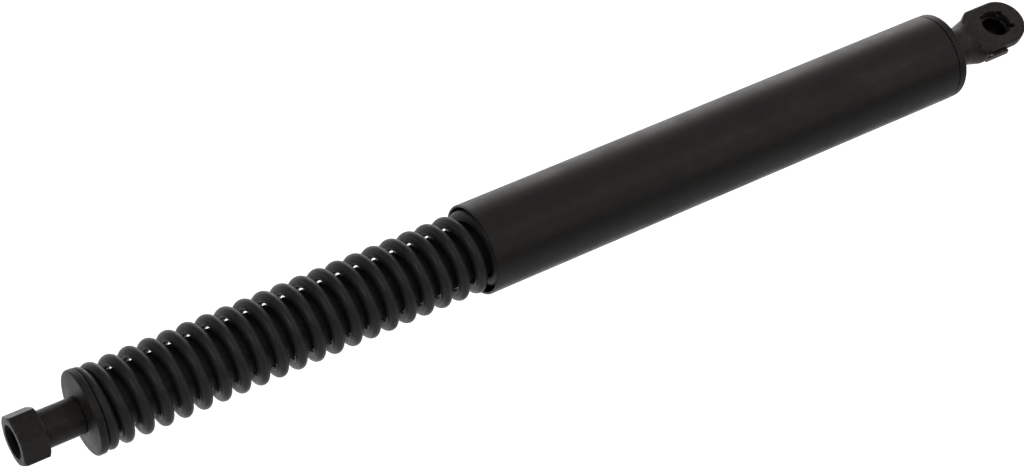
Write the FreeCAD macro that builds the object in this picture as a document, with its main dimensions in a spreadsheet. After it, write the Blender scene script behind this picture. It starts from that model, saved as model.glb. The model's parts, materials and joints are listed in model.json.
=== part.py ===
"""Gas strut stay with an outer coil spring and a long cover sleeve.

The strut lies along X.  The origin is the centre of the ball seat, +X points out of the
ball socket end, and the mouth of the socket opens towards +Z.  Sizes are in millimetres.

The piston rod, the end cap and the cover sleeve belong to the ball socket end.  The
pressure tube, the hex end and the front spring seat slide into the sleeve as it closes.
Every "..._at" value is a distance from the ball's centre towards -X.
"""
import FreeCAD, Part
import math
import os
import re

import Sketcher
from FreeCAD import Placement, Rotation, Vector

TOUCH = 1e-4  # two places closer than this are the same place
OIL_PASSAGES = 4  # holes through the piston

# ---------------------------------------------------------------- driving dimensions
dims = {
    # shared by many pieces
    "press_gap": 0.02,  # radial play left where two pieces are pressed or screwed together
    "edge_bevel": 0.5,
    "overshoot": 3.0,  # how far a cutting outline runs past the metal
    "drill_tip": 2.0,
    # cover sleeve
    "cover_outer": 30.0,
    "cover_wall": 0.8,
    "cover_mouth_at": 213.9,
    "cover_end_at": 26.8,
    "cover_rim_round": 0.3,
    # end cap, clamped between the head and the lock nut
    "flange_outer": 29.8,
    "flange_thick": 3.4,
    "flange_face_at": 23.0,
    "flange_round": 1.3,
    "spigot_length": 8.0,
    # ball socket head
    "ball_outer": 10.0,
    "ball_play": 0.1,
    "neck_outer": 13.9,
    "flare_outer": 15.6,
    "flare_length": 0.8,
    "bulge_outer": 16.5,
    "bulge_start_at": 13.6,
    "bulge_full_at": 8.6,
    "bulge_back_at": 6.6,
    "bulge_end_at": 3.0,
    "collar_outer": 17.6,
    "collar_centre": 2.5,
    "collar_low": 1.3,
    "collar_high": 6.2,
    "collar_straight": 7.4,
    "shoulder_length": 3.6,
    "shoulder_width": 12.0,
    "face_start": 8.6,
    "collar_round": 1.2,
    "mouth_bevel": 0.25,
    "notch_width": 1.6,
    "notch_low": 3.7,
    "notch_inner": 4.0,
    "notch_outer": 5.8,
    "long_notch_outer": 6.6,
    "rod_thread_end_at": 12.0,
    # retaining clip of the socket
    "clip_thick": 0.8,
    "clip_middle": 2.9,
    "clip_inner": 8.7,
    "clip_outer": 11.3,
    "clip_start_angle": 20.0,
    "clip_tongue_left": 7.0,
    "clip_tongue_right": 0.8,
    "clip_tab_left": 10.4,
    "clip_tongue_top": 0.6,
    "clip_tab_reach": 10.2,
    "clip_tab_low": 1.4,
    "clip_play": 0.15,
    # piston rod and what clamps it to the cap
    "rod_outer": 8.0,
    "rod_end_at": 12.3,
    "washer_outer": 14.6,
    "washer_thick": 1.2,
    "nut_flat": 13.0,
    "nut_thick": 5.0,
    # rear spring seat
    "rear_seat_outer": 27.6,
    "rear_seat_thick": 2.2,
    "rear_collar_outer": 18.5,
    "rear_collar_inner": 15.8,
    "rear_collar_length": 4.6,
    # pressure tube
    "tube_outer": 18.0,
    "tube_wall": 1.5,
    "tube_open_at": 155.8,
    "tube_back_at": 342.9,
    "lip_thick": 1.5,
    "lip_bore": 10.6,
    "lip_round": 1.2,
    # guide and seal packet, from the lip inwards
    "wiper_thick": 2.0,
    "guide_length": 8.0,
    "guide_lip": 1.3,
    "guide_clear": 0.4,
    "bush_outer": 10.4,
    "support_thick": 1.5,
    "support_clear": 0.3,
    "seal_length": 5.0,
    "seal_lip": 1.0,
    "seal_hollow": 2.5,
    "seal_lip_start": 3.5,
    "seal_lip_wall": 0.7,
    "keeper_thick": 2.0,
    "keeper_clear": 0.6,
    "running_play": 0.05,
    # piston packet
    "piston_gap": 1.5,
    "disc_thick": 0.8,
    "disc_outer": 12.4,
    "piston_length": 8.0,
    "piston_outer": 14.7,
    "ring_groove_width": 2.2,
    "ring_groove_inner": 12.2,
    "stub_outer": 5.0,
    "piston_nut_flat": 8.0,
    "piston_nut_thick": 3.6,
    "oil_passage": 1.2,
    "stub_beyond_nut": 0.6,
    # end plug of the tube
    "plug_flange": 1.4,
    "plug_spigot": 8.0,
    "plug_groove_width": 2.2,
    "plug_groove_inner": 12.4,
    "stud_outer": 8.0,
    "stud_length": 8.6,
    "stud_end_gap": 0.4,
    # front spring seat
    "seat_outer": 27.0,
    "seat_front_at": 349.9,
    "seat_dome": 0.7,
    "seat_back_at": 346.8,
    "seat_edge_round": 0.7,
    "seat_boss_outer": 18.5,
    "seat_boss_length": 2.1,
    "seat_play": 0.08,
    "recess_outer": 12.9,
    "recess_depth": 1.35,
    "crown_outer": 15.0,
    "crown_drop": 0.11,
    # snap ring that holds the front seat on the stem
    "snap_thick": 1.1,
    "snap_outer": 12.7,
    "snap_inner": 10.7,
    "snap_gap": 2.4,
    "snap_set_back": 0.1,
    "snap_play": 0.04,
    # hex end fitting
    "tip_at": 370.9,
    "hex_length": 8.6,
    "hex_flat": 15.0,
    "hex_roll": 4.0,
    "hex_chamfer": 1.1,
    "hex_chamfer_length": 0.65,
    "stem_outer": 11.8,
    "thread_bore": 8.5,
    "thread_mouth": 10.7,
    "thread_depth": 14.0,
    # coil spring
    "wire": 3.8,
    "coil_outer": 26.7,
    "coil_gap": 0.3,
    "dead_pitch": 3.84,
    "dead_turns": 1,
    "live_turns": 47,
    "coil_roll": 90.0,
}


# ---------------------------------------------------------------- sizes that follow
def follow(name, value):
    """Add a size worked out from the driving ones."""
    dims[name] = value


follow("cover_inner", dims["cover_outer"] - 2 * dims["cover_wall"])
follow("cover_length", dims["cover_mouth_at"] - dims["cover_end_at"])
follow("spigot_outer", dims["cover_inner"] - 2 * dims["press_gap"])
follow("flange_back_at", dims["flange_face_at"] + dims["flange_thick"])
follow("spigot_back_at", dims["flange_back_at"] + dims["spigot_length"])
follow("rod_clear", dims["rod_outer"] + 2 * dims["press_gap"])
follow("ball_cavity", dims["ball_outer"] + 2 * dims["ball_play"])
follow("clip_low", dims["clip_middle"] - dims["clip_thick"] / 2)
follow("clip_high", dims["clip_middle"] + dims["clip_thick"] / 2)
follow("tube_inner", dims["tube_outer"] - 2 * dims["tube_wall"])
follow("tube_fit", dims["tube_inner"] - 2 * dims["press_gap"])
follow("rod_running", dims["rod_outer"] + 2 * dims["running_play"])
follow("wiper_at", dims["tube_open_at"] + dims["lip_thick"] + dims["wiper_thick"])
follow("guide_at", dims["wiper_at"] + dims["guide_length"])
follow("support_at", dims["guide_at"] + dims["support_thick"])
follow("seal_at", dims["support_at"] + dims["seal_length"])
follow("keeper_at", dims["seal_at"] + dims["keeper_thick"])
follow("rod_shoulder_at", dims["keeper_at"] + dims["piston_gap"])
follow("valve_at", dims["rod_shoulder_at"] + dims["disc_thick"])
follow("piston_at", dims["valve_at"] + dims["piston_length"])
follow("backing_at", dims["piston_at"] + dims["disc_thick"])
follow("piston_nut_at", dims["backing_at"] + dims["piston_nut_thick"])
follow("stub_length", dims["piston_nut_at"] - dims["rod_shoulder_at"] + dims["stub_beyond_nut"])
follow("rod_length", dims["rod_shoulder_at"] - dims["rod_end_at"])
follow("lock_washer_at", dims["spigot_back_at"] + dims["washer_thick"])
follow("lock_nut_at", dims["lock_washer_at"] + dims["nut_thick"])
follow("rear_seat_at", dims["spigot_back_at"] + dims["rear_seat_thick"])
follow("plug_flange_at", dims["tube_back_at"] + dims["plug_flange"])
follow("stem_bore", dims["stem_outer"] + 2 * dims["seat_play"])
follow("seat_thick", dims["seat_front_at"] - dims["seat_back_at"])
follow("hex_body", dims["tip_at"] - dims["plug_flange_at"])
follow("hex_corner", dims["hex_flat"] / math.cos(math.pi / 6))
follow("snap_at", dims["seat_front_at"] - dims["snap_set_back"])
follow("snap_groove_at", dims["tip_at"] - dims["snap_at"])
follow("stub_bore", dims["stub_outer"] + 2 * dims["press_gap"])
follow("coil_radius", (dims["coil_outer"] - dims["wire"]) / 2)
follow("coil_left_at", dims["seat_back_at"] - dims["coil_gap"])
follow("coil_right_at", dims["rear_seat_at"] + dims["coil_gap"])
follow("coil_length", dims["coil_left_at"] - dims["coil_right_at"])
follow("dead_length", dims["dead_pitch"] * dims["dead_turns"])
follow("live_pitch", (dims["coil_length"] - 2 * dims["dead_length"]) / dims["live_turns"])

# ---------------------------------------------------------------- document and sheet
doc = FreeCAD.newDocument("GasStrutStay")
sheet = doc.addObject("Spreadsheet::Sheet", "Dims")
for row, (alias, number) in enumerate(dims.items(), start=1):
    sheet.set(f"A{row}", alias)
    sheet.set(f"B{row}", f"{number:.6f}")
    sheet.setAlias(f"B{row}", alias)
doc.recompute()

NODES = []  # the finished pieces, each exported under its Label


def bound(text):
    """The expression with every size name turned into a reference to the sheet."""
    return re.sub(r"[a-z_]+", lambda word: f"Dims.{word[0]}" if word[0] in dims else word[0], text)


def finish(piece, label):
    """Name a finished piece and keep it for export."""
    piece.Label = label
    NODES.append(piece)
    return piece


# ---------------------------------------------------------------- sketch and feature helpers
def new_sketch(body, role, lift=None):
    """A sketch on one of the body's own planes, lifted off it by an expression if one is given."""
    sketch = body.newObject("Sketcher::SketchObject", f"{body.Name}_sketch")
    plane = next(feature for feature in body.Origin.OriginFeatures if feature.Role == role)
    sketch.AttachmentSupport = [(plane, "")]
    sketch.MapMode = "FlatFace"
    if lift:
        sketch.setExpression(".AttachmentOffset.Base.z", bound(lift))
    return sketch


def bind_corner(sketch, edge, end, corner):
    """Tie one end of an edge to a pair of expressions; None leaves a coordinate to an arc."""
    for kind, text in zip(("DistanceX", "DistanceY"), corner):
        if text is None:
            continue
        index = sketch.addConstraint(Sketcher.Constraint(kind, -1, 1, edge, end, 1.0))
        sketch.setExpression(f"Constraints[{index}]", bound(text))


def bind_outline(sketch, corners):
    """A closed outline of straight edges through the corners."""
    count = len(corners)
    first = sketch.GeometryCount
    turns = [2 * math.pi * k / count for k in range(count + 1)]
    ring = [Vector(10 * math.cos(turn), 10 * math.sin(turn), 0) for turn in turns]
    for k in range(count):
        sketch.addGeometry(Part.LineSegment(ring[k], ring[k + 1]))
    for k, corner in enumerate(corners):
        sketch.addConstraint(Sketcher.Constraint("Coincident", first + k, 1, first + (k - 1) % count, 2))
        bind_corner(sketch, first + k, 1, corner)
    return sketch


def bind_chain(sketch, corners, start, step):
    """Straight edges through the corners, open at the ends; start and step place the first guess."""
    spots = [start + step * k for k in range(len(corners))]
    last = len(corners) - 2
    for k, corner in enumerate(corners[:-1]):
        sketch.addGeometry(Part.LineSegment(spots[k], spots[k + 1]))
        if k:
            sketch.addConstraint(Sketcher.Constraint("Coincident", k - 1, 2, k, 1))
        bind_corner(sketch, k, 1, corner)
    bind_corner(sketch, last, 2, corners[-1])
    return last


def bind_circle(sketch, radius, centre, size):
    """A circle round the origin or a bound centre, its radius tied to an expression."""
    index = sketch.addGeometry(Part.Circle(Vector(0, 0, 0), Vector(0, 0, 1), radius))
    bind_corner(sketch, index, 3, centre)
    tie = sketch.addConstraint(Sketcher.Constraint("Radius", index, radius))
    sketch.setExpression(f"Constraints[{tie}]", bound(size))


def bind_arc(sketch, radius, start, end, around, centre=None):
    """An arc from one corner to another, about the origin or a bound centre; around is in degrees."""
    low, high = around
    circle = Part.Circle(Vector(0, 0, 0), Vector(0, 0, 1), radius)
    arc = Part.ArcOfCircle(circle, math.radians(low), math.radians(high))
    index = sketch.addGeometry(arc)
    if centre:
        bind_corner(sketch, index, 3, centre)
    else:
        sketch.addConstraint(Sketcher.Constraint("Coincident", index, 3, -1, 1))
    sketch.addConstraint(Sketcher.Constraint("Coincident", index, 1, *start))
    sketch.addConstraint(Sketcher.Constraint("Coincident", index, 2, *end))
    return index


def revolve(body, sketch):
    """Add the sketch's area turned about X."""
    turn = body.newObject("PartDesign::Revolution", f"{body.Name}_turn")
    turn.Profile = sketch
    turn.ReferenceAxis = (sketch, ["H_Axis"])
    turn.Angle = 360
    doc.recompute()


def pad(body, sketch, length):
    """Add the sketch's area as a slab of this length expression."""
    slab = body.newObject("PartDesign::Pad", f"{body.Name}_pad")
    slab.Profile = sketch
    slab.setExpression("Length", bound(length))
    doc.recompute()


def turned(name, at, outline):
    """A body turned about X; the outline is (axial, radial) from the piece's own left face."""
    body = doc.addObject("PartDesign::Body", name)
    revolve(body, bind_outline(new_sketch(body, "XY_Plane"), outline))
    body.setExpression("Placement.Base.x", bound(f"-{at}"))
    doc.recompute()
    return body


def cut_checked(body, feature):
    """Recompute a cutting feature and make sure that it took material away."""
    before = body.Tip.BaseFeature.Shape.Volume if body.Tip.BaseFeature else 0
    doc.recompute()
    if not feature.Shape.Volume < before - TOUCH:
        raise ValueError(f"{feature.Name} cut nothing")
    return feature


def pocket(body, sketch, length=None, midplane=False, turned_over=False):
    """Cut the sketch's area out of the body, by a length expression or right through."""
    cut = body.newObject("PartDesign::Pocket", f"{body.Name}_pocket")
    cut.Profile = sketch
    if length:
        cut.setExpression("Length", bound(length))
    else:
        cut.Type = "ThroughAll"
    cut.Midplane = midplane
    cut.Reversed = turned_over
    return cut_checked(body, cut)


def groove(body, sketch, axis):
    """Turn the sketch's area out of the body."""
    cut = body.newObject("PartDesign::Groove", f"{body.Name}_groove")
    cut.Profile = sketch
    cut.ReferenceAxis = (sketch, [axis])
    cut.Angle = 360
    return cut_checked(body, cut)


def dress(body, kind, size, wanted):
    """Round or bevel the edges of the body's tip that wanted(edge) picks."""
    base = body.Tip
    names = [f"Edge{k}" for k, edge in enumerate(base.Shape.Edges, start=1) if wanted(edge)]
    if not names:
        raise ValueError(f"{body.Name} has no edge to dress")
    feature = body.newObject(f"PartDesign::{kind}", f"{body.Name}_{kind.lower()}")
    feature.Base = (base, names)
    feature.setExpression("Radius" if kind == "Fillet" else "Size", bound(size))
    doc.recompute()
    return feature


def rim(axial, diameter):
    """Picks the round edge about X at this axial place with this diameter."""

    def wanted(edge):
        curve = edge.Curve
        return (
            isinstance(curve, Part.Circle)
            and abs(curve.Radius - diameter / 2) < TOUCH
            and abs(curve.Center.x - axial) < TOUCH
        )

    return wanted


def hexagon(flat, roll):
    """Corners of a hexagon across this width, rolled by an angle, as expressions."""
    return [
        tuple(f"{flat} / sqrt(3) * {turn}({60 * k} deg + {roll} * 1 deg)" for turn in ("cos", "sin"))
        for k in range(6)
    ]


def rectangle(left, right, low, high):
    """Corners of a rectangle as expressions."""
    return [(left, low), (right, low), (right, high), (left, high)]


# ---------------------------------------------------------------- cover side
def make_cover_sleeve():
    """Thin drawn tube that hides the spring, its rim rounded at the open mouth."""
    body = turned(
        "CoverSleeve", "cover_mouth_at", rectangle("0", "cover_length", "cover_inner/2", "cover_outer/2")
    )
    for diameter in (dims["cover_outer"], dims["cover_inner"]):
        dress(body, "Fillet", "cover_rim_round", rim(0, diameter))
    return finish(body, "cover_sleeve")


def make_end_cap():
    """Flange that closes the sleeve, with the spigot the sleeve is pressed on."""
    outline = [
        ("0", "rod_clear/2"),
        ("spigot_length + flange_thick", "rod_clear/2"),
        ("spigot_length + flange_thick", "flange_outer/2"),
        ("spigot_length", "flange_outer/2"),
        ("spigot_length", "spigot_outer/2"),
        ("0", "spigot_outer/2"),
    ]
    body = turned("EndCap", "spigot_back_at", outline)
    face = dims["spigot_length"] + dims["flange_thick"]
    dress(body, "Fillet", "flange_round", rim(face, dims["flange_outer"]))
    return finish(body, "end_cap")


def add_neck(body):
    """Round neck that runs into the half-ball under the socket."""
    sketch = new_sketch(body, "XY_Plane")
    corners = [
        ("-flange_face_at", "0"),
        ("-flange_face_at", "flare_outer/2"),
        ("-flange_face_at + flare_length", "flare_outer/2"),
        ("-flange_face_at + 2 * flare_length", "neck_outer/2"),
        ("0", "neck_outer/2"),
    ]
    radius = dims["neck_outer"] / 2
    last = bind_chain(sketch, corners, Vector(-dims["flange_face_at"], radius, 0), Vector(radius / 2, 0, 0))
    axis = sketch.addGeometry(Part.LineSegment(Vector(radius, 0, 0), Vector(-radius, 0, 0)))
    sketch.addConstraint(Sketcher.Constraint("Coincident", axis, 2, 0, 1))
    sketch.addConstraint(Sketcher.Constraint("PointOnObject", axis, 1, -1))
    bind_arc(sketch, radius, (axis, 1), (last, 2), (0, 90))
    revolve(body, sketch)


def add_bulge(body):
    """The neck swells where it meets the collar."""
    outline = [
        ("-bulge_start_at", "0"),
        ("-bulge_start_at", "neck_outer/2"),
        ("-bulge_full_at", "bulge_outer/2"),
        ("-bulge_back_at", "bulge_outer/2"),
        ("-bulge_end_at", "neck_outer/2"),
        ("-bulge_end_at", "0"),
    ]
    revolve(body, bind_outline(new_sketch(body, "XY_Plane"), outline))


def add_collar(body):
    """Wide collar round the mouth: a half-round end, straight sides and two shoulders."""
    sketch = new_sketch(body, "XY_Plane", "collar_low")
    half = dims["collar_outer"] / 2
    corners = [
        ("collar_centre", "collar_outer/2"),
        ("-collar_straight", "collar_outer/2"),
        ("-collar_straight - shoulder_length", "shoulder_width/2"),
        ("-collar_straight - shoulder_length", "-shoulder_width/2"),
        ("-collar_straight", "-collar_outer/2"),
        ("collar_centre", "-collar_outer/2"),
    ]
    last = bind_chain(sketch, corners, Vector(0, half, 0), Vector(-1, -half / 2, 0))
    bind_arc(sketch, half, (last, 2), (0, 1), (-90, 90), ("collar_centre", None))
    pad(body, sketch, "collar_high - collar_low")


def cut_socket(body):
    """The ball seat, its mouth, and the ring groove that the clip sits in."""
    sketch = new_sketch(body, "XZ_Plane")
    radius = dims["ball_cavity"] / 2
    corners = [
        ("ball_cavity/2", "0"),
        ("ball_cavity/2", "collar_high - mouth_bevel"),
        ("ball_cavity/2 + mouth_bevel", "collar_high"),
        ("ball_cavity/2 + mouth_bevel", "collar_high + overshoot"),
        ("0", "collar_high + overshoot"),
        ("0", None),
    ]
    last = bind_chain(sketch, corners, Vector(radius, 0, 0), Vector(-1, 1, 0))
    bind_arc(sketch, radius, (last, 2), (0, 1), (-90, 0))
    groove(body, sketch, "V_Axis")
    ring = rectangle(
        "0", "clip_outer/2 + clip_play", "clip_low - clip_play", "clip_high + clip_play"
    )
    groove(body, bind_outline(new_sketch(body, "XZ_Plane"), ring), "V_Axis")


def cut_notches(body):
    """Three small reliefs at the rim of the mouth, where a tool reaches the clip."""
    for turn, reach in ((39, "notch_outer"), (132, "notch_outer"), (-33, "long_notch_outer")):
        corners = []
        for along, across in rectangle("notch_inner", reach, "-notch_width/2", "notch_width/2"):
            corners.append(
                (
                    f"{along} * cos({turn} deg) - ({across}) * sin({turn} deg)",
                    f"{along} * sin({turn} deg) + ({across}) * cos({turn} deg)",
                )
            )
        sketch = bind_outline(new_sketch(body, "XY_Plane", "notch_low"), corners)
        pocket(body, sketch, "collar_high", turned_over=True)


def make_head():
    """Ball socket head with its neck, screwed on the piston rod."""
    body = doc.addObject("PartDesign::Body", "Head")
    add_neck(body)
    add_collar(body)

    def collar_edge(edge):
        heights = [vertex.Z for vertex in edge.Vertexes]
        middle = edge.valueAt((edge.FirstParameter + edge.LastParameter) / 2)
        outside = math.hypot(max(middle.x, 0), middle.y) > dims["bulge_outer"] / 2
        on_top = all(abs(height - dims["collar_high"]) < TOUCH for height in heights)
        under = all(abs(height - dims["collar_low"]) < TOUCH for height in heights)
        return outside and (on_top or under)

    dress(body, "Fillet", "collar_round", collar_edge)
    add_bulge(body)
    face = [
        ("-bulge_start_at", "neck_outer/2"),
        ("-face_start", "collar_high"),
        ("collar_outer", "collar_high"),
        ("collar_outer", "neck_outer"),
        ("-bulge_start_at", "neck_outer"),
    ]
    pocket(body, bind_outline(new_sketch(body, "XZ_Plane"), face), midplane=True)
    cut_socket(body)
    slot = rectangle(
        "-clip_tongue_left - 2 * clip_play", "-clip_tongue_right + 2 * clip_play", "-collar_outer", "0"
    )
    pocket(
        body,
        bind_outline(new_sketch(body, "XY_Plane", "clip_low - clip_play"), slot),
        "clip_thick + 2 * clip_play",
        turned_over=True,
    )
    cut_notches(body)
    bore = [
        ("-flange_face_at - overshoot", "0"),
        ("-flange_face_at - overshoot", "rod_clear/2"),
        ("-rod_thread_end_at", "rod_clear/2"),
        ("-rod_thread_end_at + drill_tip", "0"),
    ]
    groove(body, bind_outline(new_sketch(body, "XY_Plane"), bore), "H_Axis")
    return finish(body, "ball_socket_head")


def make_clip():
    """Spring-steel clip: an open ring round the ball's shoulder, a tongue and a thumb tab."""
    body = doc.addObject("PartDesign::Body", "Clip")
    sketch = new_sketch(body, "XY_Plane", "clip_low")
    tongue = [
        (None, "0"),
        ("-clip_outer/2", "-clip_tongue_top"),
        ("-clip_tongue_left", "-clip_tongue_top"),
        ("-clip_tongue_left", "-clip_tab_reach"),
        ("-clip_tongue_right", "-clip_tab_reach"),
        ("-clip_tongue_right", None),
    ]
    last = bind_chain(sketch, tongue, Vector(-dims["clip_inner"], 0, 0), Vector(-1, -1, 0))
    tip = sketch.addGeometry(Part.LineSegment(Vector(1, 0, 0), Vector(dims["clip_outer"], 0, 0)))
    start = dims["clip_start_angle"]
    for end, size in ((1, "clip_inner"), (2, "clip_outer")):
        spot = tuple(f"{size}/2 * {turn}(clip_start_angle * 1 deg)" for turn in ("cos", "sin"))
        bind_corner(sketch, tip, end, spot)
    bind_arc(sketch, dims["clip_outer"] / 2, (tip, 2), (0, 1), (start, 180))
    bind_arc(sketch, dims["clip_inner"] / 2, (tip, 1), (last, 2), (start, 230))
    pad(body, sketch, "clip_thick")
    tab = rectangle(
        "-clip_tab_left", "-clip_tongue_right", "-clip_tab_reach", "-clip_tab_reach + clip_thick"
    )
    pad(body, bind_outline(new_sketch(body, "XY_Plane", "clip_tab_low"), tab), "clip_high - clip_tab_low")
    return finish(body, "retaining_clip")


def make_piston_rod():
    """Ground rod, full size up to the piston's shoulder, then a thinner stub through it."""
    outline = [
        ("0", "0"),
        ("stub_length + rod_length", "0"),
        ("stub_length + rod_length", "rod_outer/2"),
        ("stub_length", "rod_outer/2"),
        ("stub_length", "stub_outer/2"),
        ("0", "stub_outer/2"),
    ]
    body = turned("PistonRod", "(rod_shoulder_at + stub_length)", outline)
    end = dims["stub_length"] + dims["rod_length"]
    dress(body, "Chamfer", "edge_bevel", rim(end, dims["rod_outer"]))
    return finish(body, "piston_rod")


def washer(name, label, at, thick, inner, outer):
    """A plain ring."""
    return finish(turned(name, at, rectangle("0", thick, inner, outer)), label)


def make_nut(name, label, at, thick, flat, bore):
    """A hex nut with bevelled corners on both faces."""
    corner = f"({flat} / cos(30 deg) / 2)"
    outline = [
        ("0", bore),
        (thick, bore),
        (thick, f"{flat}/2"),
        (f"{thick} - ({corner} - {flat}/2) / 2", corner),
        (f"({corner} - {flat}/2) / 2", corner),
        ("0", f"{flat}/2"),
    ]
    body = turned(name, at, outline)
    sketch = bind_outline(new_sketch(body, "YZ_Plane"), hexagon(flat, "0"))
    bind_circle(sketch, dims[flat], ("0", "0"), flat)
    pocket(body, sketch, thick, turned_over=True)
    return finish(body, label)


def make_rear_seat():
    """Cup washer at the cap that centres the spring's last coil round the lock nut."""
    outline = [
        ("0", "rear_collar_inner/2"),
        ("rear_collar_length + rear_seat_thick", "rear_collar_inner/2"),
        ("rear_collar_length + rear_seat_thick", "rear_seat_outer/2"),
        ("rear_collar_length", "rear_seat_outer/2"),
        ("rear_collar_length", "rear_collar_outer/2"),
        ("0", "rear_collar_outer/2"),
    ]
    body = turned("RearSeat", "(rear_seat_at + rear_collar_length)", outline)
    dress(body, "Chamfer", "edge_bevel", rim(0, dims["rear_collar_outer"]))
    return finish(body, "rear_spring_seat")


# ---------------------------------------------------------------- piston packet
def make_piston():
    """Piston body with the groove for its ring and a circle of small oil passages."""
    middle = "piston_length/2"
    half = "ring_groove_width/2"
    outline = [
        ("0", "stub_bore/2"),
        ("piston_length", "stub_bore/2"),
        ("piston_length", "piston_outer/2"),
        (f"{middle} + {half}", "piston_outer/2"),
        (f"{middle} + {half}", "ring_groove_inner/2"),
        (f"{middle} - {half}", "ring_groove_inner/2"),
        (f"{middle} - {half}", "piston_outer/2"),
        ("0", "piston_outer/2"),
    ]
    body = turned("Piston", "piston_at", outline)
    hole = new_sketch(body, "YZ_Plane")
    spot = ("0", "(stub_outer + ring_groove_inner) / 4")
    bind_circle(hole, dims["oil_passage"] / 2, spot, "oil_passage/2")
    first = pocket(body, hole, turned_over=True)
    pattern = body.newObject("PartDesign::PolarPattern", "OilPassages")
    pattern.Originals = [first]
    pattern.Axis = (hole, ["N_Axis"])
    pattern.Angle = 360
    pattern.Occurrences = OIL_PASSAGES
    body.Tip = pattern
    doc.recompute()
    return finish(body, "piston")


# ---------------------------------------------------------------- tube side
def make_pressure_tube():
    """Seamless tube, open at the plug end, its other end rolled in over the guide packet."""
    length = "(tube_back_at - tube_open_at)"
    outline = [
        ("0", "tube_inner/2"),
        (f"{length} - lip_thick", "tube_inner/2"),
        (f"{length} - lip_thick", "lip_bore/2"),
        (length, "lip_bore/2"),
        (length, "tube_outer/2"),
        ("0", "tube_outer/2"),
    ]
    body = turned("PressureTube", "tube_back_at", outline)
    end = dims["tube_back_at"] - dims["tube_open_at"]
    dress(body, "Fillet", "lip_round", rim(end, dims["tube_outer"]))
    return finish(body, "pressure_tube")


def make_end_plug():
    """Plug with a stud for the hex end, a flange on the tube's end and a seal groove."""
    flange = "stud_length + plug_flange"
    groove_start = f"({flange} + plug_spigot/2 - plug_groove_width/2)"
    outline = [
        ("0", "0"),
        (f"{flange} + plug_spigot", "0"),
        (f"{flange} + plug_spigot", "tube_fit/2"),
        (f"{groove_start} + plug_groove_width", "tube_fit/2"),
        (f"{groove_start} + plug_groove_width", "plug_groove_inner/2"),
        (groove_start, "plug_groove_inner/2"),
        (groove_start, "tube_fit/2"),
        (flange, "tube_fit/2"),
        (flange, "tube_outer/2"),
        ("stud_length", "tube_outer/2"),
        ("stud_length", "stud_outer/2"),
        ("0", "stud_outer/2"),
    ]
    body = turned("EndPlug", "(plug_flange_at + stud_length)", outline)
    dress(body, "Chamfer", "edge_bevel", rim(0, dims["stud_outer"]))
    return finish(body, "tube_end_plug")


def make_ring_seal(name, label, middle_at, inner, outer):
    """A round-section rubber ring about X between two diameters."""
    ring = doc.addObject("Part::Torus", name)
    ring.setExpression("Radius1", bound(f"({inner} + {outer}) / 4"))
    ring.setExpression("Radius2", bound(f"({outer} - {inner}) / 4"))
    ring.Placement = Placement(Vector(0, 0, 0), Rotation(Vector(0, 1, 0), 90))
    ring.setExpression("Placement.Base.x", bound(f"-{middle_at}"))
    return finish(ring, label)


def make_rod_guide():
    """Steel guide ring, stepped to hold the plain bush."""
    outline = [
        ("0", "rod_outer/2 + guide_clear"),
        ("guide_lip", "rod_outer/2 + guide_clear"),
        ("guide_lip", "bush_outer/2 + press_gap"),
        ("guide_length", "bush_outer/2 + press_gap"),
        ("guide_length", "tube_fit/2"),
        ("0", "tube_fit/2"),
    ]
    body = turned("RodGuide", "guide_at", outline)
    dress(body, "Chamfer", "edge_bevel", rim(0, dims["tube_fit"]))
    return finish(body, "rod_guide")


def make_rod_seal():
    """Rubber lip seal: a sleeve with a hollow back and one lip that wipes the rod."""
    outline = [
        ("0", "rod_running/2 + seal_lip"),
        ("seal_hollow", "rod_running/2 + seal_lip"),
        ("seal_lip_start", "rod_running/2"),
        ("seal_length", "rod_running/2"),
        ("seal_length", "tube_fit/2"),
        ("0", "tube_fit/2"),
        ("0", "tube_fit/2 - seal_lip"),
        ("seal_hollow", "tube_fit/2 - seal_lip"),
        ("seal_hollow", "rod_running/2 + seal_lip + seal_lip_wall"),
        ("0", "rod_running/2 + seal_lip + seal_lip_wall"),
    ]
    return finish(turned("RodSeal", "seal_at", outline), "rod_seal")


def make_front_seat():
    """Domed disc that the spring pushes on, with a boss inside the spring and a recess in front."""
    thick = "seat_thick"
    outline = [
        ("recess_depth", "stem_bore/2"),
        (f"{thick} + seat_boss_length", "stem_bore/2"),
        (f"{thick} + seat_boss_length", "seat_boss_outer/2"),
        (thick, "seat_boss_outer/2"),
        (thick, "seat_outer/2"),
        ("seat_dome", "seat_outer/2"),
        ("crown_drop", "crown_outer/2"),
        ("0", "recess_outer/2"),
        ("recess_depth", "recess_outer/2"),
    ]
    body = turned("FrontSeat", "seat_front_at", outline)
    dress(body, "Fillet", "seat_edge_round", rim(dims["seat_dome"], dims["seat_outer"]))
    dress(body, "Fillet", "seat_edge_round / 2", rim(dims["seat_thick"], dims["seat_outer"]))
    return finish(body, "front_spring_seat")


def make_snap_ring():
    """Open spring ring in the stem's groove."""
    body = turned("SnapRing", "snap_at", rectangle("0", "snap_thick", "snap_inner/2", "snap_outer/2"))
    sketch = bind_outline(
        new_sketch(body, "YZ_Plane"), rectangle("-snap_gap/2", "snap_gap/2", "-snap_outer", "0")
    )
    pocket(body, sketch, "snap_thick", turned_over=True)
    return finish(body, "seat_snap_ring")


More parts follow.
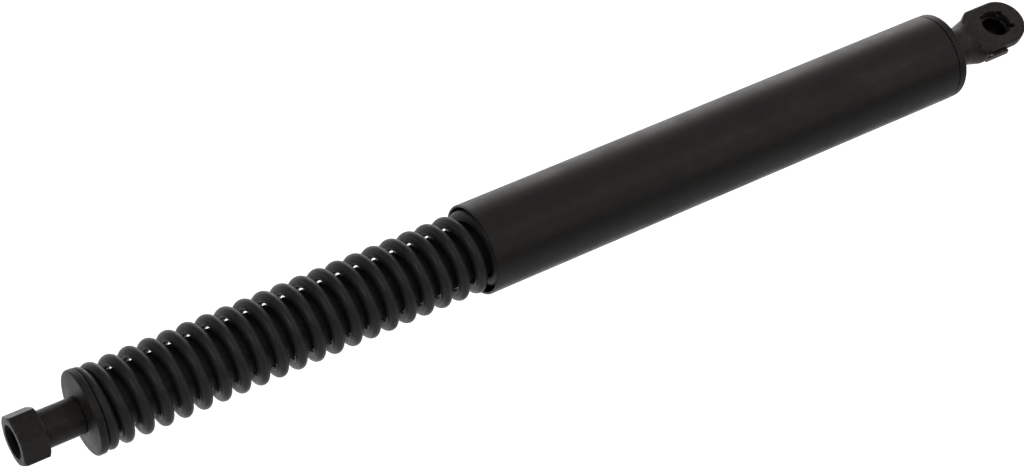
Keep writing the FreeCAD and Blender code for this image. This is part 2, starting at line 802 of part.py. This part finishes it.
def make_hex_end():
    """Hollow hex fitting: threaded socket in front, a smooth stem, a bore for the plug's stud."""
    outline = [
        ("thread_depth + drill_tip", "0"),
        ("hex_body - stud_length - stud_end_gap", "0"),
        ("hex_body - stud_length - stud_end_gap", "stud_outer/2 + press_gap"),
        ("hex_body", "stud_outer/2 + press_gap"),
        ("hex_body", "stem_outer/2"),
        ("snap_groove_at + snap_thick + snap_play", "stem_outer/2"),
        ("snap_groove_at + snap_thick + snap_play", "snap_inner/2 - snap_play"),
        ("snap_groove_at - snap_play", "snap_inner/2 - snap_play"),
        ("snap_groove_at - snap_play", "stem_outer/2"),
        ("hex_length", "stem_outer/2"),
        ("hex_length", "hex_corner/2 - hex_chamfer"),
        ("hex_length - hex_chamfer_length", "hex_corner/2"),
        ("hex_chamfer_length", "hex_corner/2"),
        ("0", "hex_corner/2 - hex_chamfer"),
        ("0", "thread_mouth/2"),
        ("(thread_mouth - thread_bore)/2", "thread_bore/2"),
        ("thread_depth", "thread_bore/2"),
    ]
    body = turned("HexEnd", "tip_at", outline)
    sketch = bind_outline(new_sketch(body, "YZ_Plane"), hexagon("hex_flat", "hex_roll"))
    bind_circle(sketch, dims["hex_flat"], ("0", "0"), "hex_flat")
    pocket(body, sketch, "hex_length", turned_over=True)
    return finish(body, "hex_end_fitting")


# ---------------------------------------------------------------- coil spring
def make_coil_spring():
    """Cold-wound spring: closed coils at both ends, ground flat where they meet the seats."""
    closed = [dims["dead_pitch"]] * dims["dead_turns"]
    edges = []
    rise = 0.0
    for pitch in closed + [dims["live_pitch"]] * dims["live_turns"] + closed:
        turn = Part.makeHelix(pitch, pitch, dims["coil_radius"])
        turn.translate(Vector(0, 0, rise))
        edges += turn.Edges
        rise += pitch
    path = Part.Wire(edges)
    slope = dims["dead_pitch"] / (2 * math.pi * dims["coil_radius"])
    section = Part.makeCircle(dims["wire"] / 2, Vector(dims["coil_radius"], 0, 0), Vector(0, 1, slope))
    wound = path.makePipeShell([Part.Wire([section])], True, True)
    expected = path.Length * math.pi * dims["wire"] ** 2 / 4
    if abs(wound.Volume / expected - 1) > 0.01:
        raise ValueError("the coil's volume is not its wire's section times its length")
    width = 2 * dims["coil_outer"]
    between = Part.makeBox(width, width, dims["coil_length"], Vector(-width / 2, -width / 2, 0))
    spring = doc.addObject("Part::Feature", "CoilSpring")
    spring.Shape = wound.common(between).Solids[0]
    lie_down = Rotation(Vector(0, 1, 0), 90)
    spring.Placement = Placement(
        Vector(-dims["coil_left_at"], 0, 0), Rotation(Vector(1, 0, 0), dims["coil_roll"]) * lie_down
    )
    return finish(spring, "coil_spring")


# ---------------------------------------------------------------- assembly
make_cover_sleeve()
make_end_cap()
make_head()
make_clip()
make_piston_rod()
washer("LockWasher", "lock_washer", "lock_washer_at", "washer_thick", "rod_clear/2", "washer_outer/2")
make_nut("LockNut", "rod_lock_nut", "lock_nut_at", "nut_thick", "nut_flat", "rod_clear/2")
make_rear_seat()
washer("ValveDisc", "piston_valve_disc", "valve_at", "disc_thick", "stub_bore/2", "disc_outer/2")
make_piston()
make_ring_seal(
    "PistonRing", "piston_ring", "(piston_at - piston_length/2)", "ring_groove_inner", "tube_fit"
)
washer("BackingDisc", "piston_backing_disc", "backing_at", "disc_thick", "stub_bore/2", "disc_outer/2")
make_nut("PistonNut", "piston_nut", "piston_nut_at", "piston_nut_thick", "piston_nut_flat", "stub_bore/2")
make_pressure_tube()
washer("DustWiper", "dust_wiper", "wiper_at", "wiper_thick", "rod_running/2", "tube_fit/2")
make_rod_guide()
bush_length = "guide_length - guide_lip"
washer("GuideBush", "guide_bush", "(guide_at - guide_lip)", bush_length, "rod_running/2", "bush_outer/2")
support_bore = "rod_outer/2 + support_clear"
washer("SealSupport", "seal_support_washer", "support_at", "support_thick", support_bore, "tube_fit/2")
make_rod_seal()
keeper_bore = "rod_outer/2 + keeper_clear"
washer("SealKeeper", "seal_keeper_ring", "keeper_at", "keeper_thick", keeper_bore, "tube_fit/2")
make_end_plug()
make_ring_seal(
    "PlugSeal", "end_plug_seal", "(tube_back_at - plug_spigot/2)", "plug_groove_inner", "tube_fit"
)
make_front_seat()
make_snap_ring()
make_hex_end()
make_coil_spring()

# ---------------------------------------------------------------- checks and export
doc.recompute()
for item in doc.Objects:
    if {"Invalid", "Error"} & set(item.State):
        raise ValueError(f"{item.Name} is in state {item.State}")
os.makedirs("parts", exist_ok=True)
for piece in NODES:
    shape = piece.Shape
    if shape.isNull() or not shape.isValid():
        raise ValueError(f"{piece.Label} has no valid shape")
    shape.exportStep(f"parts/{piece.Label}.step")
    box = shape.BoundBox
    print(f"{piece.Label:22s} {shape.Volume:10.1f} mm3  x {box.XMin:8.2f} .. {box.XMax:8.2f}")
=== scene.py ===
"""Looks of the gas strut stay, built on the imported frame.  Metres, +X along the strut."""

import json
import math

import bpy
import numpy as np
from mathutils import Matrix, Vector


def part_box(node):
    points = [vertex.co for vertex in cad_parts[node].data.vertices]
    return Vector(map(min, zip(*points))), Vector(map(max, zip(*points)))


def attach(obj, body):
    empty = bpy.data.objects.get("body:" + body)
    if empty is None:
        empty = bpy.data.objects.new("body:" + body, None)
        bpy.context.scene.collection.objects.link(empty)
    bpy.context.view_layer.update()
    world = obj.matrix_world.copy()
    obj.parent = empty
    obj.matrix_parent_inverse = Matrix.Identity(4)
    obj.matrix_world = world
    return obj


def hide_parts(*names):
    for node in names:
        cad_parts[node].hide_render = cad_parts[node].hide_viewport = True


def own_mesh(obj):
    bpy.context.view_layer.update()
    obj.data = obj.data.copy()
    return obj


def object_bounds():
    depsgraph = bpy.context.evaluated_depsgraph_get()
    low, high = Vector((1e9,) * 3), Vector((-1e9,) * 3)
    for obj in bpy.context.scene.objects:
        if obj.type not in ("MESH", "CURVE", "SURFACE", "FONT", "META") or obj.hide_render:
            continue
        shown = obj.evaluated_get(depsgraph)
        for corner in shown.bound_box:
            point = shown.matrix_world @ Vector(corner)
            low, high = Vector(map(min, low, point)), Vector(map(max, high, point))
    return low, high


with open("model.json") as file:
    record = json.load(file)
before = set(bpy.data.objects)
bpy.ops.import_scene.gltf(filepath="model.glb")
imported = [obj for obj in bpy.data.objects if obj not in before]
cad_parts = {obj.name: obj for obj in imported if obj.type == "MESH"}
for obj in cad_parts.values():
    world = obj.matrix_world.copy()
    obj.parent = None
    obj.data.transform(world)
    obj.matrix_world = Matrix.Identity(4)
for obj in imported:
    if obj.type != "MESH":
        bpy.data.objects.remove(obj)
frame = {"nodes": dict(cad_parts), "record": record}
CAD_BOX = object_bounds()
NODES = frame["nodes"]
RECORD = frame["record"]
MM = 0.001
ALONG = Vector((1, 0, 0))


# ---------------------------------------------------------------- camera
SENSOR = 36.0
LENS = 91.16
LEAN = math.radians(24.8)  # how far the camera stands off square to the strut, to its hex end
LIFT = math.radians(65.0)  # the camera's height round the strut, from the -Y side upwards
TILT = math.radians(22.7)  # the strut's slope in the picture
REACH = 0.820  # from the point aimed at to the camera
AIM = Vector((-0.1990, 0.0, 0.0))
SHIFT = -0.16 * MM  # from the strut's axis to the picture's centre
FACING = Vector((0, -math.cos(LIFT), math.sin(LIFT)))
OVER = Vector((0, math.sin(LIFT), math.cos(LIFT)))
CLIP = (0.01, 20)  # nearest and farthest thing that the camera sees


def make_camera():
    """The photograph's viewing angle: long lens, strut rising to the right."""
    back = FACING * math.cos(LEAN) - ALONG * math.sin(LEAN)
    level = ALONG * math.cos(LEAN) + FACING * math.sin(LEAN)
    right = level * math.cos(TILT) - OVER * math.sin(TILT)
    up = level * math.sin(TILT) + OVER * math.cos(TILT)
    data = bpy.data.cameras.new("camera")
    data.sensor_width = SENSOR
    data.lens = LENS
    data.clip_start, data.clip_end = CLIP
    camera = bpy.data.objects.new("camera", data)
    turn = Matrix((right, up, back)).transposed().to_4x4()
    camera.matrix_world = Matrix.Translation(AIM + OVER * SHIFT + back * REACH) @ turn
    bpy.context.collection.objects.link(camera)
    bpy.context.scene.camera = camera


# ---------------------------------------------------------------- materials
class Finish:
    """One procedural material, built node by node in the object's own coordinates."""

    def __init__(self, name):
        self.material = bpy.data.materials.new(name)
        self.material.use_nodes = True
        self.tree = self.material.node_tree
        self.shader = self.tree.nodes["Principled BSDF"]
        self.place = self.node("ShaderNodeTexCoord").outputs["Object"]

    def node(self, kind, **settings):
        """A new node with these settings."""
        made = self.tree.nodes.new(kind)
        for key, value in settings.items():
            setattr(made, key, value)
        return made

    def put(self, socket, value):
        """Set a socket to a constant, or link it to an output."""
        if isinstance(value, bpy.types.NodeSocket):
            self.tree.links.new(value, socket)
        else:
            socket.default_value = value

    def axes(self):
        """The object's coordinates, one output for each axis."""
        split = self.node("ShaderNodeSeparateXYZ")
        self.put(split.inputs[0], self.place)
        return split.outputs

    def stretched(self, scale):
        """The object's coordinates, scaled along each axis."""
        made = self.node("ShaderNodeMapping")
        self.put(made.inputs["Vector"], self.place)
        made.inputs["Scale"].default_value = scale
        return made.outputs["Vector"]

    def noise(self, scale, detail=3.0, rough=0.5, vector=None, warp=0.0):
        """Soft noise from 0 to 1, its scale in waves per metre."""
        made = self.node("ShaderNodeTexNoise")
        self.put(made.inputs["Vector"], vector or self.place)
        made.inputs["Scale"].default_value = scale
        made.inputs["Detail"].default_value = detail
        made.inputs["Roughness"].default_value = rough
        made.inputs["Distortion"].default_value = warp
        return made.outputs["Fac"]

    def streaks(self, scales, detail=3.0, rough=0.6, warp=0.0):
        """Noise drawn out along a direction, its scales in waves per metre along X, Y and Z."""
        return self.noise(1.0, detail, rough, vector=self.stretched(scales), warp=warp)

    def math(self, operation, a, b=0.0, clamp=False):
        """One step of arithmetic."""
        made = self.node("ShaderNodeMath", operation=operation, use_clamp=clamp)
        self.put(made.inputs[0], a)
        self.put(made.inputs[1], b)
        return made.outputs[0]

    def span(self, value, low, high, to_low=0.0, to_high=1.0):
        """Remap a value smoothly from one range to another."""
        made = self.node("ShaderNodeMapRange", interpolation_type="SMOOTHSTEP")
        ends = {"From Min": low, "From Max": high, "To Min": to_low, "To Max": to_high}
        for key, number in ends.items():
            made.inputs[key].default_value = number
        self.put(made.inputs["Value"], value)
        return made.outputs["Result"]

    def mix(self, share, a, b):
        """Blend two colours."""
        made = self.node("ShaderNodeMix", data_type="RGBA")
        self.put(made.inputs["Factor"], share)
        for key, value in (("A", a), ("B", b)):
            socket = [s for s in made.inputs if s.name == key and s.type == "RGBA"][0]
            self.put(socket, value)
        return [s for s in made.outputs if s.type == "RGBA"][0]

    def bump(self, height, strength, distance, under=None):
        """Surface relief, on top of another relief if one is given."""
        made = self.node("ShaderNodeBump")
        self.put(made.inputs["Height"], height)
        made.inputs["Strength"].default_value = strength
        made.inputs["Distance"].default_value = distance
        if under:
            self.put(made.inputs["Normal"], under)
        return made.outputs["Normal"]

    def edges(self, radius):
        """How sharply the surface turns within this radius: 0 on flats, towards 1 on edges."""
        bevel = self.node("ShaderNodeBevel", samples=6)
        bevel.inputs["Radius"].default_value = radius
        true = self.node("ShaderNodeNewGeometry").outputs["Normal"]
        dot = self.node("ShaderNodeVectorMath", operation="DOT_PRODUCT")
        self.put(dot.inputs[0], bevel.outputs["Normal"])
        self.put(dot.inputs[1], true)
        return self.math("SUBTRACT", 1.0, dot.outputs["Value"], clamp=True)

    def corners(self, reach):
        """How shut in the surface is: 0 in the open, 1 deep in a corner."""
        made = self.node("ShaderNodeAmbientOcclusion", samples=8)
        made.inputs["Distance"].default_value = reach
        return self.math("SUBTRACT", 1.0, made.outputs["AO"], clamp=True)

    def from_origin(self, along=1.0):
        """Distance from the origin, or from the strut's axis when along is 0."""
        made = self.node("ShaderNodeVectorMath", operation="LENGTH")
        self.put(made.inputs[0], self.stretched((along, 1, 1)))
        return made.outputs["Value"]

    def finish(self, color, rough, normal=None, metallic=0.0, specular=0.5):
        """Set the shader's sockets."""
        self.put(self.shader.inputs["Base Color"], color)
        self.put(self.shader.inputs["Roughness"], rough)
        self.put(self.shader.inputs["Metallic"], metallic)
        self.put(self.shader.inputs["Specular IOR Level"], specular)
        if normal:
            self.put(self.shader.inputs["Normal"], normal)
        return self.material


def rgb(level, warmth=0.0):
    """A grey of this level, warmer for a positive warmth."""
    return (level * (1 + warmth), level, level * (1 - warmth), 1)


# scales of the noises, in waves per metre, and of the streaks along X, Y and Z
CLOUDS = 70
BLOTCHES = 520
DENTS = 460
PATCHES = 900
SPECKS = 2600
STAINS = 420
SINTERED = 3200
HAIRLINES = (90, 2600, 2600)
TURNED = (9000, 140, 140)
GROUND = (5200, 90, 90)
DRAWN = (600, 600, 6000)

FINE_RELIEF = 0.02 * MM
COAT_RELIEF = 0.06 * MM
FORGED_RELIEF = 0.22 * MM

SEAM = (-27.05 * MM, -26.28 * MM)  # along X, where the cover sleeve and the end cap meet
SEAM_FLOOR = 14.985 * MM  # from the axis: below this the seam is painted near black as shade
# painted shade: near black in the seam between the cover sleeve and the end cap
PAINTED_SEAM_SHADE = rgb(0.001)
CORNER_SHADE_REACH = 2.5 * MM  # how far the painted shade reaches out of a corner
# painted shade: near black inside the ball socket and the threaded bore
PAINTED_HOLE_SHADE = rgb(0.0015)
HOLE_SHADE_REACH = 5.35 * MM  # from the ball's centre or the thread's axis: the hole is painted dark as shade inside this
BARE = rgb(0.20, 0.07)  # metal where the coating has rubbed off
# a rub's width, and how sharply the surface turns where it starts and where it is full
FINE_RUB = (0.45 * MM, 0.02, 0.30)
WIDE_RUB = (0.9 * MM, 0.012, 0.10)


def scratched(f, level, strength, shade, normal):
    """The colour and relief with hairline scratches along the strut, in patches."""
    hair = f.streaks(HAIRLINES, 2.0, 0.5, warp=0.3)
    patches = f.span(f.noise(38, 2, 0.5), 0.5, 0.68)
    lines = f.math("MULTIPLY", f.span(hair, 0.66, 0.74), patches)
    shade = f.mix(f.math("MULTIPLY", lines, strength), shade, rgb(level * 3.0, 0.02))
    return shade, f.bump(lines, 0.25, FINE_RELIEF, normal)


def in_seam(f):
    """1 in the seam between the cover sleeve and the end cap, 0 elsewhere."""
    x = f.axes()["X"]
    beyond = f.math("GREATER_THAN", x, SEAM[0])
    inside = f.math("MULTIPLY", beyond, f.math("LESS_THAN", x, SEAM[1]))
    return f.math("MULTIPLY", inside, f.math("LESS_THAN", f.from_origin(along=0), SEAM_FLOOR))


def in_hole_shade(f, hole_shaded):
    """Near 1 in the ball socket or in the threaded bore, 0 elsewhere."""
    distance = f.from_origin(along=1.0 if hole_shaded == "ball" else 0.0)
    return f.span(distance, HOLE_SHADE_REACH, HOLE_SHADE_REACH * 1.05, 0.95, 0.0)


def rubbed_edges(f, wear, wide):
    """How far the coating has rubbed off, in patches along the edges."""
    width, start, full = WIDE_RUB if wide else FINE_RUB
    patches = f.span(f.noise(PATCHES, 4, 0.7), 0.36, 0.62)
    rubbed = f.math("MULTIPLY", f.span(f.edges(width), start, full), patches)
    return f.math("MULTIPLY", rubbed, wear)


def coat(name, level, warmth, rough, grain, relief, mottle,
         wear=0.0, scratches=0.0, seam=False, forged_with_corner_shade=False, hole_shaded=None):
    """A thin black coating: mottled colour, fine relief, dull and shiny patches, rubbed edges, and
    painted shade in the seam, in corners and in holes where asked.
    """
    f = Finish(name)
    cloud = f.noise(CLOUDS, 4, 0.6, warp=0.4)
    blotch = f.noise(BLOTCHES, 5, 0.65)
    dark = rgb(level * (1 - mottle), warmth)
    light = rgb(level * (1 + mottle), warmth * 1.4)
    shade = f.mix(f.span(blotch, 0.32, 0.7), dark, light)
    shade = f.mix(f.span(cloud, 0.3, 0.72, 0.0, 0.45), shade, rgb(level * 0.7, warmth * 0.5))
    speck = f.span(f.noise(SPECKS, 2, 0.5), 0.7, 0.78, 0.0, 0.35)
    shade = f.mix(speck, shade, rgb(level * 2.6, warmth * 0.5))
    dull = f.math("ADD", f.span(cloud, 0.25, 0.75, -0.05, 0.05), f.span(blotch, 0.3, 0.7, -0.04, 0.04))
    dull = f.math("ADD", dull, rough)
    normal = f.bump(f.noise(grain, 3, 0.6), relief, COAT_RELIEF)
    if forged_with_corner_shade:
        normal = f.bump(f.noise(DENTS, 4, 0.6, warp=0.6), 0.5, FORGED_RELIEF, normal)
    if scratches:
        shade, normal = scratched(f, level, scratches, shade, normal)
    if seam:
        # painted shade: the seam is painted near black where shade falls in the gap
        seam_shade = in_seam(f)
        shade = f.mix(seam_shade, shade, PAINTED_SEAM_SHADE)
        dull = f.math("MAXIMUM", dull, seam_shade)
    if forged_with_corner_shade:
        # painted shade: darker in corners and creases, by ambient occlusion
        corner_shade = f.span(f.corners(CORNER_SHADE_REACH), 0.15, 0.8, 0.0, 0.75)
        shade = f.mix(corner_shade, shade, rgb(level * 0.15, 0.1))
    if hole_shaded:
        # painted shade: the inside of the hole is painted near black
        hole_shade = in_hole_shade(f, hole_shaded)
        shade = f.mix(hole_shade, shade, PAINTED_HOLE_SHADE)
    metal = 0.0
    if wear:
        rubbed = rubbed_edges(f, wear, wide=forged_with_corner_shade)
        # no rubbed edges and a dull surface inside the bore's painted shade
        if hole_shaded == "bore":
            rubbed = f.math("MULTIPLY", rubbed, f.math("SUBTRACT", 1.0, hole_shade))
            dull = f.math("MAXIMUM", dull, hole_shade)
        shade = f.mix(rubbed, shade, BARE)
        metal = f.math("MULTIPLY", rubbed, 0.6)
    return f.finish(shade, dull, normal, metal)


def steel(name, level, rough, warmth=0.0, lay="turned"):
    """Bare metal with the marks of its making: turned rings, ground lines or a sintered grain."""
    f = Finish(name)
    cloud = f.noise(160, 4, 0.6)
    shade = f.mix(f.span(cloud, 0.3, 0.7), rgb(level * 0.82, warmth), rgb(level * 1.1, warmth * 0.7))
    if lay == "turned":
        marks = f.streaks(TURNED)
    elif lay == "ground":
        marks = f.streaks(GROUND)
    else:
        marks = f.noise(SINTERED, 4, 0.75)
    dull = f.math("ADD", f.span(marks, 0.3, 0.7, -0.07, 0.07), rough)
    stain = f.span(f.noise(STAINS, 5, 0.7), 0.6, 0.75, 0.0, 0.4)
    shade = f.mix(stain, shade, rgb(level * 0.35, 0.1))
    return f.finish(shade, dull, f.bump(marks, 0.3, FINE_RELIEF), metallic=0.95)


def blued(name, level, edge_level, rough):
    """Blued spring steel: dark and slightly glossy, bright where the strip's edges rub."""
    f = Finish(name)
    cloud = f.noise(700, 4, 0.6)
    shade = f.mix(f.span(cloud, 0.3, 0.7), rgb(level * 0.7, 0.02), rgb(level * 1.3, 0.08))
    sharp = f.span(f.edges(0.25 * MM), 0.01, 0.2)
    rubbed = f.math("MULTIPLY", sharp, f.span(f.noise(1300, 3, 0.6), 0.3, 0.55))
    shade = f.mix(rubbed, shade, rgb(edge_level, 0.03))
    marks = f.streaks(DRAWN)
    dull = f.math("ADD", f.span(marks, 0.3, 0.7, -0.06, 0.06), rough)
    return f.finish(shade, dull, f.bump(marks, 0.3, FINE_RELIEF), metallic=0.85)


def rubber(name, level, rough):
    """Moulded rubber or plastic with a fine bloom."""
    f = Finish(name)
    bloom = f.noise(1400, 4, 0.6)
    shade = f.mix(f.span(bloom, 0.35, 0.7), rgb(level), rgb(level * 1.7, 0.03))
    normal = f.bump(f.noise(5200, 2, 0.5), 0.2, FINE_RELIEF)
    return f.finish(shade, f.span(bloom, 0.3, 0.7, rough - 0.06, rough + 0.06), normal)


# each coating's colour, dullness, grain in waves per metre, relief, mottling, signs of use and painted
# shade
COATS = {
    "sleeve_black": dict(
        level=0.013, warmth=0.10, rough=0.44, grain=3400, relief=0.10, mottle=0.10,
        wear=0.25, scratches=0.35, seam=True,
    ),
    "cap_black": dict(
        level=0.014, warmth=0.10, rough=0.46, grain=3000, relief=0.15, mottle=0.15,
        wear=0.5, scratches=0.2, seam=True,
    ),
    "head_black": dict(
        level=0.031, warmth=0.15, rough=0.47, grain=1700, relief=0.9, mottle=0.4,
        wear=0.55, forged_with_corner_shade=True, hole_shaded="ball",
    ),
    "fitting_black": dict(
        level=0.021, warmth=0.10, rough=0.47, grain=1500, relief=0.9, mottle=0.42,
        wear=0.7, forged_with_corner_shade=True, hole_shaded="bore",
    ),
    "seat_black": dict(
        level=0.020, warmth=0.06, rough=0.50, grain=2200, relief=0.6, mottle=0.35,
        wear=0.6, forged_with_corner_shade=True,
    ),
    "coil_black": dict(
        level=0.034, warmth=0.02, rough=0.46, grain=2600, relief=0.3, mottle=0.2,
    ),
    "tube_black": dict(
        level=0.014, warmth=0.05, rough=0.40, grain=3200, relief=0.1, mottle=0.1,
        scratches=0.5,
    ),
}


def paint_all():
    """Give each record slot its finish."""
    made = {slot: coat(slot, **settings) for slot, settings in COATS.items()}
    made["spring_steel"] = blued("spring_steel", level=0.07, edge_level=0.5, rough=0.36)
    made["plain_steel"] = steel("plain_steel", level=0.42, rough=0.36)
    made["chromed_steel"] = steel("chromed_steel", level=0.62, rough=0.14, lay="ground")
    made["sintered_steel"] = steel("sintered_steel", level=0.20, rough=0.48, lay="grain")
    made["bronze"] = steel("bronze", level=0.34, rough=0.38, warmth=0.42, lay="grain")
    made["rubber_black"] = rubber("rubber_black", level=0.014, rough=0.62)
    made["wiper_plastic"] = rubber("wiper_plastic", level=0.07, rough=0.5)
    for part in RECORD["subparts"]:
        for place in NODES[part["node"]].material_slots:
            place.material = made[part["material_slot"]]
    return made


# ---------------------------------------------------------------- stage and light
FLOOR_DROP = 0.45  # from the strut's lowest point to the floor
FLOOR_HALF = 12.0
FLOOR_TONE = 0.8
GLOW_DIM, GLOW_BRIGHT = 0.22, 1.0
GLOW_NEAR = (-0.16, -0.03)  # along Y, where the floor goes from dim to bright
GLOW_SIDE = (-0.90, -0.30)  # the same along X


def make_stage():
    """Pale floor well below the strut that glows like a light table on the strut's far side."""
    mesh = bpy.data.meshes.new("floor")
    low = CAD_BOX[0][2] - FLOOR_DROP
    half = FLOOR_HALF
    corners = [(-half, -half, low), (half, -half, low), (half, half, low), (-half, half, low)]
    mesh.from_pydata(corners, [], [(0, 1, 2, 3)])
    floor = bpy.data.objects.new("floor", mesh)
    bpy.context.collection.objects.link(floor)
    f = Finish("floor_white")
    place = f.axes()
    glow = f.math("MULTIPLY", f.span(place["X"], *GLOW_SIDE), f.span(place["Y"], *GLOW_NEAR))
    f.put(f.shader.inputs["Emission Strength"], f.span(glow, 0.0, 1.0, GLOW_DIM, GLOW_BRIGHT))
    f.put(f.shader.inputs["Emission Color"], rgb(1.0))
    mesh.materials.append(f.finish(rgb(FLOOR_TONE), rough=1.0, specular=0.0))


SURROUND = 0.10
WARM = (1.0, 0.945, 0.92)
FAN_AIM = Vector((-0.18, 0, 0))
FAN_REACH = 1.3  # from the strut's axis to each panel of the fan
FAN_SIZE = (0.8, 0.5)
LEFT, MIDDLE, RIGHT = -1.1, -0.2, 0.7  # places along X
# angle round the strut from +Y upwards, place along X, power
FAN = (
    (0, LEFT, 0.5), (0, RIGHT, 2.5),
    (35, RIGHT, 0.6),
    (70, MIDDLE, 0.3), (70, RIGHT, 0.75),
    (105, LEFT, 2.6), (105, MIDDLE, 0.2), (105, RIGHT, 1.35),
    (140, MIDDLE, 0.3), (140, RIGHT, 0.85),
)


def add_panel(name, place, watts):
    """A soft rectangular light aimed at the strut."""
    data = bpy.data.lights.new(name, "AREA")
    data.shape = "RECTANGLE"
    data.size, data.size_y = FAN_SIZE
    data.energy = watts
    data.color = WARM
    light = bpy.data.objects.new(name, data)
    light.location = place
    light.rotation_euler = (FAN_AIM - Vector(place)).to_track_quat("-Z", "Y").to_euler()
    bpy.context.collection.objects.link(light)


def make_light():
    """Faint white surround and a fan of soft panels round the strut."""
    world = bpy.data.worlds.new("studio")
    world.use_nodes = True
    sky = world.node_tree.nodes["Background"]
    sky.inputs["Color"].default_value = rgb(1.0)
    sky.inputs["Strength"].default_value = SURROUND
    bpy.context.scene.world = world
    for number, (degrees, x, watts) in enumerate(FAN):
        angle = math.radians(degrees)
        place = (x, FAN_REACH * math.cos(angle), FAN_REACH * math.sin(angle))
        add_panel(f"panel_{number}", place, watts)
    bpy.context.scene.view_settings.view_transform = "Standard"


# ---------------------------------------------------------------- pieces
def dress(piece, body, slot, finishes):
    """Give a piece its finish, smooth shading and the body that it rides on."""
    mesh = piece.data
    mesh.materials.clear()
    mesh.materials.append(finishes[slot])
    mesh.polygons.foreach_set("use_smooth", [True] * len(mesh.polygons))
    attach(piece, body)


WIRE = 3.8 * MM
CLOSED_PITCH = 3.84 * MM
LIVE_TURNS = 47
STEPS = 48  # stations along each turn
ROUND = 20  # points round the wire


def wire_faces(rings):
    """Faces of a wire with this many rings of points: its skin and its two ends."""
    last = (rings - 1) * ROUND
    faces = []
    for start in range(0, last, ROUND):
        for k in range(ROUND):
            a, b = start + k, start + (k + 1) % ROUND
            faces.append((a, b, b + ROUND, a + ROUND))
    faces.append(tuple(range(ROUND - 1, -1, -1)))
    faces.append(tuple(range(last, last + ROUND)))
    return faces


def make_coil_spring(finishes):
    """The wound wire, closed at both ends and ground flat there."""
    low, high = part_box("coil_spring")
    length = high[0] - low[0]
    radius = (high[1] - low[1] - WIRE) / 2
    turn = np.arange((LIVE_TURNS + 2) * STEPS + 1) / STEPS
    bends = (0, 1, LIVE_TURNS + 1, LIVE_TURNS + 2)
    rise = np.interp(turn, bends, (0, CLOSED_PITCH, length - CLOSED_PITCH, length))
    angle = 2 * math.pi * turn  # from +Y towards +Z
    outward = np.stack((np.zeros_like(angle), np.cos(angle), np.sin(angle)), axis=1)
    centre = radius * outward + np.stack((low[0] + rise, 0 * rise, 0 * rise), axis=1)
    slope = (length - 2 * CLOSED_PITCH) / LIVE_TURNS / (2 * math.pi * radius)
    forward = np.stack((np.full_like(angle, slope), -np.sin(angle), np.cos(angle)), axis=1)
    forward /= np.linalg.norm(forward, axis=1, keepdims=True)
    beside = np.cross(forward, outward)
    points = []
    for k in range(ROUND):
        a = 2 * math.pi * k / ROUND
        points.append(centre + WIRE / 2 * (math.cos(a) * outward + math.sin(a) * beside))
    points = np.stack(points, axis=1).reshape(-1, 3)
    points[:, 0] = np.clip(points[:, 0], low[0], high[0])
    mesh = bpy.data.meshes.new("coil_spring_wire")
    mesh.from_pydata(points.tolist(), [], wire_faces(len(turn)))
    spring = bpy.data.objects.new("coil_spring_wire", mesh)
    bpy.context.collection.objects.link(spring)
    dress(spring, "cover_side", "coil_black", finishes)
    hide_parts("coil_spring")
    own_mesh(spring)


BORE_RADIUS = 4.25 * MM
BORE_WALL = (0.9, 1.03)  # a point between these shares of the bore's radius is on its wall
THREAD_PITCH = 1.5 * MM
THREAD_DEPTH = 0.6 * MM
THREAD_FLANK = 0.4  # share of the pitch that each flank takes
THREAD_FROM = 1.4 * MM  # from the hex end's tip: the thread starts past the bevelled mouth
THREAD_TO = 13.6 * MM
THREAD_RUNOUT = 1.0 * MM


def cut_thread(mesh):
    """Turn the smooth bore into a thread: a groove that winds outward from the core."""
    points = np.empty(len(mesh.vertices) * 3)
    mesh.vertices.foreach_get("co", points)
    points = points.reshape(-1, 3)
    radius = np.hypot(points[:, 1], points[:, 2])
    depth = points[:, 0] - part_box("hex_end_fitting")[0][0]
    phase = (depth / THREAD_PITCH + np.arctan2(points[:, 2], points[:, 1]) / (2 * math.pi)) % 1.0
    groove = np.clip((0.5 - np.abs(phase - 0.5)) / THREAD_FLANK, 0, 1)
    fade = np.clip((depth - THREAD_FROM) / THREAD_RUNOUT, 0, 1)
    fade *= np.clip((THREAD_TO - depth) / THREAD_RUNOUT, 0, 1)
    wall = (radius > BORE_RADIUS * BORE_WALL[0]) & (radius < BORE_RADIUS * BORE_WALL[1])
    grown = 1 + wall * THREAD_DEPTH * groove * fade / np.maximum(radius, BORE_RADIUS / 2)
    points[:, 1:] *= grown[:, None]
    mesh.vertices.foreach_set("co", points.ravel())
    mesh.update()


VOXEL = 0.2 * MM
EASE = 0.5  # how far each round moves a point towards its neighbours


def soften(node, body, slot, finishes, rounds):
    """A copy of a forged piece with its edges eased the way forging and coating leave them."""
    piece = bpy.data.objects.new(f"{node}_forged", NODES[node].data.copy())
    bpy.context.collection.objects.link(piece)
    remesh = piece.modifiers.new("remesh", "REMESH")
    remesh.mode = "VOXEL"
    remesh.voxel_size = VOXEL
    ease = piece.modifiers.new("ease", "SMOOTH")
    ease.factor = EASE
    ease.iterations = rounds
    depsgraph = bpy.context.evaluated_depsgraph_get()
    shape = bpy.data.meshes.new_from_object(piece.evaluated_get(depsgraph))
    piece.modifiers.clear()
    piece.data = shape
    if node == "hex_end_fitting":
        cut_thread(shape)
    dress(piece, body, slot, finishes)
    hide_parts(node)


make_camera()
make_stage()
make_light()
FINISHES = paint_all()
make_coil_spring(FINISHES)
soften("ball_socket_head", "cover_side", "head_black", FINISHES, rounds=10)
soften("hex_end_fitting", "tube_side", "fitting_black", FINISHES, rounds=3)
